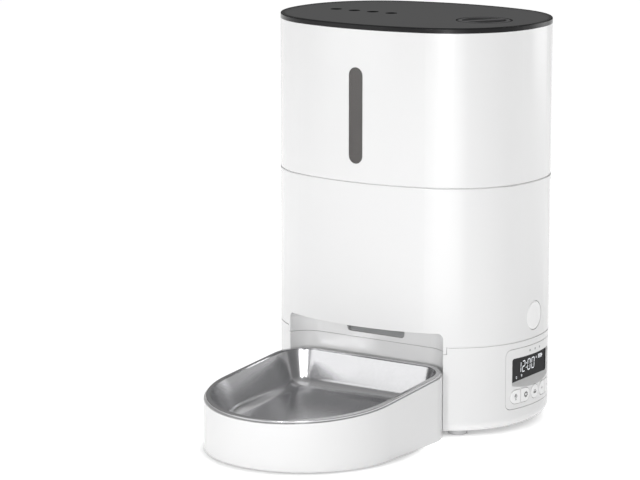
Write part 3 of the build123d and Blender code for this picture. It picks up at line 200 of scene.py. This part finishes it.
def ramp(made, value, edges, ends=(0, 1), shape="LINEAR"):
    """Rise from one end to the other between two edges of a value."""
    node = add_node(made, "ShaderNodeMapRange", interpolation_type=shape)
    node.inputs["From Min"].default_value, node.inputs["From Max"].default_value = edges
    node.inputs["To Min"].default_value, node.inputs["To Max"].default_value = ends
    link(made, value, node.inputs["Value"])
    return node.outputs["Result"]


def spread(made, value, low, high):
    """Middle of a noise's range stretched from low to high."""
    return ramp(made, value, NOISE_MIDDLE, (low, high))


def height_of(made, vector):
    """Third part of a vector."""
    parts = add_node(made, "ShaderNodeSeparateXYZ")
    link(made, vector, parts.inputs["Vector"])
    return parts.outputs["Z"]


def mix_colour(made, factor, first, second):
    """Colour between two colours, by a factor."""
    node = add_node(made, "ShaderNodeMix", data_type="RGBA")
    colours = [socket for socket in node.inputs if socket.type == "RGBA"]
    colours[0].default_value = (*first, 1)
    colours[1].default_value = (*second, 1)
    link(made, factor, node.inputs["Factor"])
    return [socket for socket in node.outputs if socket.type == "RGBA"][0]


def grain(made, shader, value, height):
    """Fine relief from a texture, with its height in metres."""
    bump = add_node(made, "ShaderNodeBump")
    bump.inputs["Strength"].default_value = GRAIN_STRENGTH
    bump.inputs["Distance"].default_value = height
    link(made, value, bump.inputs["Height"])
    link(made, bump.outputs["Normal"], shader.inputs["Normal"])


def moulded(name, pale, deep, rough, gloss=0.5, grain_scale=1500.0, grain_height=GRAIN_HEIGHT):
    """Moulded plastic: two close tones, slightly uneven gloss and a fine grain."""
    made, shader = new_material(name)
    tone = spread(made, noise(made, TONE_SCALE), 0, 1)
    link(made, mix_colour(made, tone, pale, deep), shader.inputs["Base Color"])
    uneven = noise(made, GLOSS_SCALE, GLOSS_DETAIL)
    roughness = spread(made, uneven, rough * (1 - GLOSS_STRAY), rough * (1 + GLOSS_STRAY))
    link(made, roughness, shader.inputs["Roughness"])
    grain(made, shader, noise(made, grain_scale), grain_height)
    shader.inputs["Specular IOR Level"].default_value = gloss
    return made


def metal(name, pale, deep, rough, stray=0.3, scale=900.0, stretch=(1, 1, 1), grain_height=0.00001):
    """Metal with fine lines, whose roughness strays with them."""
    made, shader = new_material(name)
    shader.inputs["Metallic"].default_value = 1.0
    lines = noise(made, scale, LINES_DETAIL, stretch)
    tone = spread(made, lines, 0, 1)
    link(made, mix_colour(made, tone, pale, deep), shader.inputs["Base Color"])
    roughness = spread(made, lines, rough * (1 - stray), rough * (1 + stray))
    link(made, roughness, shader.inputs["Roughness"])
    grain(made, shader, lines, grain_height)
    return made


white_plastic = moulded("white_plastic", (0.76, 0.76, 0.76), (0.75, 0.75, 0.752), 0.18, 1.0)
key_plastic = moulded("key_plastic", (0.88, 0.88, 0.88), (0.87, 0.87, 0.872), 0.25, 0.8)
grey_plastic = moulded("grey_plastic", (0.46, 0.465, 0.47), (0.42, 0.425, 0.43), 0.5)
black_plastic = moulded("black_plastic", (0.028, 0.028, 0.03), (0.02, 0.02, 0.022), 0.45)
acetal = moulded("acetal", (0.8, 0.78, 0.72), (0.74, 0.72, 0.66), 0.42)
rubber = moulded("rubber", (0.5, 0.5, 0.505), (0.46, 0.46, 0.465), 0.6, 0.4,
                 grain_scale=900.0, grain_height=0.0001)
light_pipe = moulded("light_pipe", (0.3, 0.32, 0.31), (0.26, 0.28, 0.27), 0.25)
printed_grey = moulded("printed_grey", (0.2, 0.2, 0.2), (0.17, 0.17, 0.17), 0.6, 0.2)
knob_plastic = moulded("knob_plastic", (0.12, 0.12, 0.122), (0.11, 0.11, 0.112), 0.45, 0.3)
# Black for the dots on the lid and for the painted groove shade round the knob
dark_marks_and_groove_shade = moulded("dark_marks_and_groove_shade", (0.012, 0.012, 0.013), (0.009, 0.009, 0.01), 0.7, 0.0)
steel = metal("zinc_steel", (0.6, 0.6, 0.61), (0.48, 0.48, 0.5), 0.35)
brass = metal("brass", (0.78, 0.6, 0.3), (0.68, 0.5, 0.22), 0.32)
bowl_steel = metal("bowl_steel", (0.61, 0.61, 0.62), (0.59, 0.59, 0.6), 0.22,
                   stray=0.08, scale=90.0, stretch=(8, 1, 8), grain_height=0.0)


def lid_plastic():
    """Charcoal plastic, satin on the sunken top and glossier on the rim; the rim and every face not facing up are
    painted darker as shade.
    """
    made, shader = new_material("charcoal_plastic")
    normal = add_node(made, "ShaderNodeNewGeometry").outputs["Normal"]
    flat = ramp(made, height_of(made, normal), LID_FACING_UP)
    rim_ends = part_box("lid")[1].z - LID_RIM_ENDS * MM
    top_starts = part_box("lid")[1].z - LID_TOP_STARTS * MM
    low = ramp(made, height_of(made, place(made)), (rim_ends, top_starts))
    both = add_node(made, "ShaderNodeMath", operation="MULTIPLY")
    link(made, flat, both.inputs[0])
    link(made, low, both.inputs[1])
    top = both.outputs["Value"]
    # Painted shade: the dark colour goes to the rim and to every face that does not face up
    colour = mix_colour(made, top, LID_RIM_SHADE_COLOUR, LID_TOP_COLOUR)
    link(made, colour, shader.inputs["Base Color"])
    link(made, ramp(made, top, (0, 1), LID_ROUGHNESS), shader.inputs["Roughness"])
    shader.inputs["Specular IOR Level"].default_value = LID_GLOSS
    grain(made, shader, noise(made, LID_GRAIN_SCALE), GRAIN_HEIGHT)
    return made


def clear_plastic():
    """Smoke-tinted clear plastic."""
    made, shader = new_material("smoke_window")
    shader.inputs["Transmission Weight"].default_value = 0.75
    shader.inputs["IOR"].default_value = 1.49
    tint = mix_colour(made, noise(made, 25.0), (0.3, 0.28, 0.27), (0.26, 0.243, 0.235))
    link(made, tint, shader.inputs["Base Color"])
    link(made, spread(made, noise(made, 120.0), 0.05, 0.1), shader.inputs["Roughness"])
    return made


def display_glass():
    """Glossy black lens."""
    made, shader = new_material("display_glass")
    black = mix_colour(made, noise(made, 40.0), (0.012, 0.012, 0.013), (0.016, 0.016, 0.018))
    link(made, black, shader.inputs["Base Color"])
    link(made, spread(made, noise(made, 200.0), 0.05, 0.09), shader.inputs["Roughness"])
    shader.inputs["Specular IOR Level"].default_value = 0.07
    return made


def display_light():
    """Lit white segments."""
    made, shader = new_material("display_light")
    white = mix_colour(made, noise(made, 900.0), (0.9, 0.92, 0.95), (0.82, 0.84, 0.88))
    link(made, white, shader.inputs["Base Color"])
    shader.inputs["Roughness"].default_value = 0.5
    shader.inputs["Emission Color"].default_value = (0.9, 0.94, 1.0, 1)
    shader.inputs["Emission Strength"].default_value = 0.25
    return made


def solder_mask():
    """Green board with faint paler tracks."""
    made, shader = new_material("circuit_board")
    tracks = add_node(made, "ShaderNodeTexBrick")
    tracks.inputs["Scale"].default_value = 220.0
    tracks.inputs["Color1"].default_value = (0.02, 0.16, 0.07, 1)
    tracks.inputs["Color2"].default_value = (0.025, 0.2, 0.085, 1)
    tracks.inputs["Mortar"].default_value = (0.05, 0.28, 0.12, 1)
    link(made, place(made), tracks.inputs["Vector"])
    link(made, tracks.outputs["Color"], shader.inputs["Base Color"])
    link(made, spread(made, noise(made, 300.0), 0.3, 0.42), shader.inputs["Roughness"])
    return made


slot_finishes = {
    "white_plastic": white_plastic,
    "charcoal_plastic": lid_plastic(),
    "grey_plastic": grey_plastic,
    "acetal": acetal,
    "stainless_steel": bowl_steel,
    "smoke_window": clear_plastic(),
    "display_glass": display_glass(),
    "light_pipe": light_pipe,
    "rubber": rubber,
    "steel": steel,
    "brass": brass,
    "circuit_board": solder_mask(),
    "black_plastic": black_plastic,
}
for subpart in frame["record"]["subparts"]:
    node = frame["nodes"][subpart["node"]]
    node.data.materials.clear()
    node.data.materials.append(slot_finishes[subpart["material_slot"]])
frame["nodes"]["lid_knob"].data.materials[0] = knob_plastic
for pressed in ("release_button", "record_key", "settings_key", "feed_key", "plus_key", "minus_key"):
    frame["nodes"][pressed].data.materials[0] = key_plastic


# Printed and lit marks, and the painted shade round the knob

joint_axes = {joint["name"]: Vector(joint["axis"]) for joint in frame["joints"]}
PANEL_OUT = -joint_axes["record_press"].normalized()
PANEL_RIGHT = UP.cross(PANEL_OUT).normalized()


def middle(node):
    """Middle of a node's box."""
    low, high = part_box(node)
    return (low + high) / 2


def new_object(name, data):
    """Object in the scene for a mesh, a lamp or the camera."""
    made = bpy.data.objects.new(name, data)
    bpy.context.scene.collection.objects.link(made)
    return made


def finished_mesh(name, build):
    """Mesh of what was built, with its faces turned outwards."""
    bmesh.ops.recalc_face_normals(build, faces=build.faces)
    mesh = bpy.data.meshes.new(name)
    build.to_mesh(mesh)
    build.free()
    return mesh


def surface(node):
    """Tree of a node's faces, for setting marks down on it."""
    mesh = frame["nodes"][node].data
    return BVHTree.FromPolygons([v.co for v in mesh.vertices], [p.vertices for p in mesh.polygons])


def disc(x, y, radius, count, squash=1.0):
    """Round outline."""
    return [
        (x + radius * cos(2 * pi * i / count), y + radius * squash * sin(2 * pi * i / count))
        for i in range(count)
    ]


def bar(x, y, width, height):
    """Rectangular outline."""
    return [
        (x - width / 2, y - height / 2),
        (x + width / 2, y - height / 2),
        (x + width / 2, y + height / 2),
        (x - width / 2, y + height / 2),
    ]


def set_down(name, node, right, up, out, centre, outlines, finish, body):
    """Thin marks on a node, for print, lit segments and a painted groove shade: each outline is dropped on its
    surface and given a thickness.

    An outline is a list of points in millimetres, or a pair of lists for a ring and its hole."""
    tree = surface(node)
    build = bmesh.new()

    def drop(point, lift):
        start = centre + (right * point[0] + up * point[1] + out * RAY_HEIGHT) * MM
        hit = tree.ray_cast(start, -out)[0]
        return build.verts.new(hit + out * lift * MM)

    for outline in outlines:
        loops = outline if isinstance(outline, tuple) else (outline,)
        top = [[drop(p, MARK_THICKNESS - MARK_SUNK) for p in loop] for loop in loops]
        low = [[drop(p, -MARK_SUNK) for p in loop] for loop in loops]
        count = len(loops[0])
        if len(loops) == 1:
            build.faces.new(top[0])
            build.faces.new(list(reversed(low[0])))
        else:
            for i in range(count):
                j = (i + 1) % count
                build.faces.new((top[0][i], top[0][j], top[1][j], top[1][i]))
                build.faces.new((low[0][j], low[0][i], low[1][i], low[1][j]))
        for ring, (upper, lower) in enumerate(zip(top, low)):
            for i in range(count):
                j = (i + 1) % count
                quad = (lower[i], lower[j], upper[j], upper[i])
                build.faces.new(quad if ring == 0 else tuple(reversed(quad)))
    mesh = finished_mesh(name, build)
    piece = new_object(name, mesh)
    mesh.materials.append(finish)
    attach(piece, body)


def segment(start, end):
    """One lit segment: a bar with pointed ends, leaning with the digit."""
    tip0, tip1 = Vector(start), Vector(end)
    along = (tip1 - tip0).normalized()
    across = Vector((-along.y, along.x)) * DIGIT_STROKE / 2
    tip0 += along * DIGIT_GAP
    tip1 -= along * DIGIT_GAP
    in0 = tip0 + along * DIGIT_STROKE / 2
    in1 = tip1 - along * DIGIT_STROKE / 2
    points = [tip0, in0 - across, in1 - across, tip1, in1 + across, in0 + across]
    return [(p.x + DIGIT_LEAN * p.y, p.y) for p in points]


def digit(value, x):
    """Outlines of one seven-segment digit whose right-hand side is at x."""
    right, left = x - DIGIT_STROKE / 2, x - DIGIT_WIDTH + DIGIT_STROKE / 2
    top, low = DIGITS_UP + DIGIT_HEIGHT / 2, DIGITS_UP - DIGIT_HEIGHT / 2
    ends = {
        "top": ((left, top), (right, top)),
        "middle": ((left, DIGITS_UP), (right, DIGITS_UP)),
        "low": ((left, low), (right, low)),
        "upper_left": ((left, DIGITS_UP), (left, top)),
        "lower_left": ((left, low), (left, DIGITS_UP)),
        "upper_right": ((right, DIGITS_UP), (right, top)),
        "lower_right": ((right, low), (right, DIGITS_UP)),
    }
    lit = {
        0: ("top", "low", "upper_left", "lower_left", "upper_right", "lower_right"),
        1: ("upper_right", "lower_right"),
        2: ("top", "middle", "low", "upper_right", "lower_left"),
    }
    return [segment(*ends[name]) for name in lit[value]]


# Outlines are drawn in millimetres: bar(x, y, width, height) and disc(x, y, radius, points, squash).
# Display marks, from the right: minutes, colon and hours, and then the signs round them.
time_marks = digit(0, DIGITS_RIGHT) + digit(0, DIGITS_RIGHT - DIGIT_PITCH)
for rise in (-COLON_RISE, COLON_RISE):
    time_marks.append(disc(COLON_MIDDLE, DIGITS_UP + rise, COLON_RADIUS, COLON_POINTS))
time_marks += digit(2, COLON_LEFT) + digit(1, COLON_LEFT - DIGIT_PITCH)
battery = [(bar(BATTERY_MIDDLE, ICONS_UP, 5.8, 2.9), bar(BATTERY_MIDDLE, ICONS_UP, 4.8, 1.9))]
for cell in (-1, 0, 1):
    battery.append(bar(BATTERY_MIDDLE + cell * BATTERY_CELL_PITCH, ICONS_UP, 1.0, 1.2))
battery.append(bar(BATTERY_TIP, ICONS_UP, 0.6, 1.3))
drop_outline = ((0, 1.0), (-0.55, -0.2), (-0.4, -0.75), (0, -1.0), (0.4, -0.75), (0.55, -0.2))
drop_mark = [[(DROP_MIDDLE + x, ICONS_UP + y) for x, y in drop_outline]]
small_marks = [
    (disc(-18.2, -6.9, 0.95, 16, 1.1), disc(-18.2, -6.9, 0.55, 16, 1.1)),
    bar(-10.6, -6.8, 0.4, 1.9),
    bar(-10.0, -6.6, 0.4, 1.5),
    bar(-9.4, -6.8, 0.4, 1.9),
]
set_down("display_marks", "display_lens", PANEL_RIGHT, UP, PANEL_OUT, middle("display_lens"),
         time_marks + battery + drop_mark + small_marks, display_light(), "base")

# Key marks: microphone, cog, dish, plus and minus
microphone = [
    disc(0, 1.1, 0.85, 20, 1.75),
    bar(-1.45, 0.6, 0.35, 1.4),
    bar(1.45, 0.6, 0.35, 1.4),
    bar(0, -0.75, 2.2, 0.4),
    bar(0, -1.5, 0.4, 1.1),
    bar(0, -2.2, 1.8, 0.35),
]
cog_edge = []
for i in range(COG_POINTS):
    radius = COG_TIP if i // 2 % 2 else COG_ROOT
    angle = 2 * pi * i / COG_POINTS
    cog_edge.append((radius * cos(angle), radius * sin(angle)))
cog = [(cog_edge, disc(0, 0, COG_BORE, COG_POINTS))]
dish = []
for i in range(-DISH_STRIPS // 2, DISH_STRIPS // 2):
    dish.append([
        (DISH_TOP_STEP * i, 0.0),
        (DISH_LOW_STEP * i, -DISH_DEPTH),
        (DISH_LOW_STEP * (i + 1), -DISH_DEPTH),
        (DISH_TOP_STEP * (i + 1), 0.0),
    ])
dish += [disc(-0.85, 0.8, 0.55, 14), disc(0.85, 0.8, 0.55, 14)]
plus = [bar(0, 0, 2.8, 0.55), bar(0, 0.85, 0.55, 1.1), bar(0, -0.85, 0.55, 1.1)]
minus = [bar(0, 0, 2.8, 0.55)]
key_marks = {"record": microphone, "settings": cog, "feed": dish, "plus": plus, "minus": minus}
for key, marks in key_marks.items():
    set_down(f"{key}_mark", f"{key}_key", PANEL_RIGHT, UP, PANEL_OUT, middle(f"{key}_key"),
             marks, printed_grey, f"key_{key}")

# Painted shade of the groove round the knob: a dark ring on the lid
knob_low, knob_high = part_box("lid_knob")
knob_radius = (knob_high.x - knob_low.x) / 2 / MM
knob_line = (disc(0, 0, knob_radius + KNOB_SHADE_OUTER, KNOB_SHADE_POINTS),
             disc(0, 0, knob_radius + KNOB_SHADE_INNER, KNOB_SHADE_POINTS))
set_down("knob_line", "lid", ACROSS, BACK, UP, middle("lid_knob"),
         [knob_line], dark_marks_and_groove_shade, "top_lid")


# Row of dots on the lid

def repeat_tree(name, finish):
    """Node tree that sets copies of a piece on the points of a mesh and joins them into one."""
    tree = bpy.data.node_groups.new(name, "GeometryNodeTree")
    tree.interface.new_socket("Points", in_out="INPUT", socket_type="NodeSocketGeometry")
    tree.interface.new_socket("Piece", in_out="INPUT", socket_type="NodeSocketObject")
    tree.interface.new_socket("Result", in_out="OUTPUT", socket_type="NodeSocketGeometry")
    start = tree.nodes.new("NodeGroupInput")
    end = tree.nodes.new("NodeGroupOutput")
    source = tree.nodes.new("GeometryNodeObjectInfo")
    copies = tree.nodes.new("GeometryNodeInstanceOnPoints")
    real = tree.nodes.new("GeometryNodeRealizeInstances")
    paint = tree.nodes.new("GeometryNodeSetMaterial")
    paint.inputs["Material"].default_value = finish
    tree.links.new(start.outputs["Piece"], source.inputs["Object"])
    tree.links.new(start.outputs["Points"], copies.inputs["Points"])
    tree.links.new(source.outputs["Geometry"], copies.inputs["Instance"])
    tree.links.new(copies.outputs["Instances"], real.inputs["Geometry"])
    tree.links.new(real.outputs["Geometry"], paint.inputs["Geometry"])
    tree.links.new(paint.outputs["Geometry"], end.inputs["Result"])
    return tree


def repeat(name, pattern, points, finish, body):
    """Copies of a pattern mesh at points, as one plain mesh that rides on a body."""
    pattern_object = new_object(name + "_pattern", pattern)
    spots = bpy.data.meshes.new(name + "_points")
    spots.from_pydata(points, [], [])
    carrier = new_object(name + "_carrier", spots)
    tree = repeat_tree(name + "_tree", finish)
    modifier = carrier.modifiers.new("repeat", "NODES")
    modifier.node_group = tree
    names = {item.name: item.identifier for item in tree.interface.items_tree}
    modifier[names["Piece"]] = pattern_object
    bpy.context.view_layer.update()
    evaluated = carrier.evaluated_get(bpy.context.evaluated_depsgraph_get())
    mesh = bpy.data.meshes.new_from_object(evaluated)
    bpy.data.objects.remove(carrier)
    bpy.data.objects.remove(pattern_object)
    piece = new_object(name, mesh)
    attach(piece, body)


def disc_mesh(name, radius, thickness):
    """Flat round plate, standing on z = 0."""
    build = bmesh.new()
    bmesh.ops.create_circle(build, cap_ends=True, radius=radius, segments=LID_MARK_POINTS)
    raised = bmesh.ops.extrude_face_region(build, geom=build.faces[:])
    verts = [item for item in raised["geom"] if isinstance(item, bmesh.types.BMVert)]
    bmesh.ops.translate(build, verts=verts, vec=(0, 0, thickness))
    return finished_mesh(name, build)


body_centre = Vector((0, middle("lid").y, 0))
lid_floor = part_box("lid")[1].z - LID_TOP_SUNK * MM
lid_points = []
for i in range(LID_MARK_COUNT):
    along = LID_MARK_MIDDLE + (i - (LID_MARK_COUNT - 1) / 2) * LID_MARK_PITCH
    lid_points.append((along * MM, body_centre.y, lid_floor - MARK_SUNK * MM))
repeat("lid_marks", disc_mesh("lid_mark", LID_MARK_RADIUS * MM, MARK_THICKNESS * MM),
       lid_points, dark_marks_and_groove_shade, "top_lid")


# Floor

def vector_math(made, operation, first, second=None, result="Vector"):
    """Vector operation, with a constant as its second value where it needs one."""
    node = add_node(made, "ShaderNodeVectorMath", operation=operation)
    link(made, first, node.inputs[0])
    if second is not None:
        node.inputs[1].default_value = second
    return node.outputs[result]


def length(made, vector):
    """Length of a vector."""
    return vector_math(made, "LENGTH", vector, result="Value")


def outside(made, centre, half_x, half_y, edges):
    """0 inside an oval on the floor and 1 outside it, with a soft edge in shares of its size."""
    offset = vector_math(made, "SUBTRACT", place(made), centre)
    scaled = vector_math(made, "MULTIPLY", offset, (1 / half_x, 1 / half_y, 0))
    return ramp(made, length(made, scaled), edges, shape="SMOOTHSTEP")


def times_plus(made, first, second, third):
    """First times second plus third; the last two may be plain numbers."""
    node = add_node(made, "ShaderNodeMath", operation="MULTIPLY_ADD")
    link(made, first, node.inputs[0])
    for socket, value in ((node.inputs[1], second), (node.inputs[2], third)):
        if isinstance(value, float):
            socket.default_value = value
        else:
            link(made, value, socket)
    return node.outputs["Value"]


def glowing_paper():
    """White paper with the floor's glow."""
    made = moulded("floor_paper", (0.93, 0.93, 0.93), (0.92, 0.92, 0.92), 0.9, 0.0,
                   grain_scale=300.0, grain_height=0.0)
    shader = made.node_tree.nodes["Principled BSDF"]
    shader.inputs["Emission Color"].default_value = (1, 1, 1, 1)
    base_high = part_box("base_shell")[1]
    tray_low, tray_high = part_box("bowl_tray")
    tray_centre = Vector((0, middle("bowl_tray").y, 0))
    clear_of_body = outside(made, body_centre, base_high.x, base_high.y - body_centre.y,
                            BODY_SHADE_EDGE)
    clear_of_tray = outside(made, tray_centre, tray_high.x, tray_centre.y - tray_low.y,
                            TRAY_SHADE_EDGE)
    unshaded = times_plus(made, clear_of_body, clear_of_tray, 0.0)
    glow = times_plus(made, unshaded, FLOOR_GLOW - SHADE_GLOW, SHADE_GLOW)
    from_body = vector_math(made, "SUBTRACT", place(made), body_centre)
    farther = ramp(made, length(made, from_body), SECTORS_START, shape="SMOOTHSTEP")
    glow = times_plus(made, farther, FAR_GLOW, glow)
    heading = vector_math(made, "NORMALIZE", from_body)
    for azimuth, inner, outer, strength in GLOW_SECTORS:
        toward = (cos(radians(azimuth)), sin(radians(azimuth)), 0)
        nearness = vector_math(made, "DOT_PRODUCT", heading, toward, "Value")
        edges = (cos(radians(outer)), cos(radians(inner)))
        sector = ramp(made, nearness, edges, (0, strength), "SMOOTHSTEP")
        glow = times_plus(made, sector, farther, glow)
    link(made, glow, shader.inputs["Emission Strength"])
    return made


floor_mesh = bpy.data.meshes.new("floor")
floor_corners = [(x * FLOOR_HALF, y * FLOOR_HALF, 0) for x, y in ((-1, -1), (1, -1), (1, 1), (-1, 1))]
floor_mesh.from_pydata(floor_corners, [], [(0, 1, 2, 3)])
floor = new_object("floor", floor_mesh)
floor_mesh.materials.append(glowing_paper())


# Lights, sky and camera

def stand(name, data, place_at, direction):
    """Lamp or camera at a place, looking in a direction."""
    made = new_object(name, data)
    made.location = place_at
    made.rotation_euler = direction.to_track_quat("-Z", "Y").to_euler()
    return made


for name, (place_at, size, watts) in BOXES.items():
    box = bpy.data.lights.new(name, "AREA")
    box.shape = "RECTANGLE"
    box.size, box.size_y = size
    box.energy = watts
    stand(name, box, place_at, BOXES_AIM - Vector(place_at))

low_fill = bpy.data.lights.new("low_fill", "SPOT")
low_fill.energy = SPOT_WATTS
low_fill.spot_size = SPOT_WIDTH
low_fill.spot_blend = 1.0
low_fill.shadow_soft_size = SPOT_SOFTNESS
stand("low_fill", low_fill, SPOT_PLACE, SPOT_AIM - SPOT_PLACE)

sky = bpy.data.worlds.new("studio")
bpy.context.scene.world = sky
sky.use_nodes = True
sky_light = sky.node_tree.nodes["Background"]
sky_light.inputs["Color"].default_value = (1, 1, 1, 1)
sky_direction = add_node(sky, "ShaderNodeTexCoord").outputs["Generated"]
sky_strength = ramp(sky, height_of(sky, sky_direction), SKY_RISE, SKY_GLOW)
link(sky, sky_strength, sky_light.inputs["Strength"])
bpy.context.scene.view_settings.view_transform = "Standard"

camera_data = bpy.data.cameras.new("camera")
camera_data.sensor_fit = "HORIZONTAL"
camera_data.sensor_width = CAMERA_SENSOR
camera_data.lens = CAMERA_LENS
camera_data.clip_end = CAMERA_REACH
bpy.context.scene.camera = stand("camera", camera_data, CAMERA_PLACE, CAMERA_AIM)

bpy.context.view_layer.update()
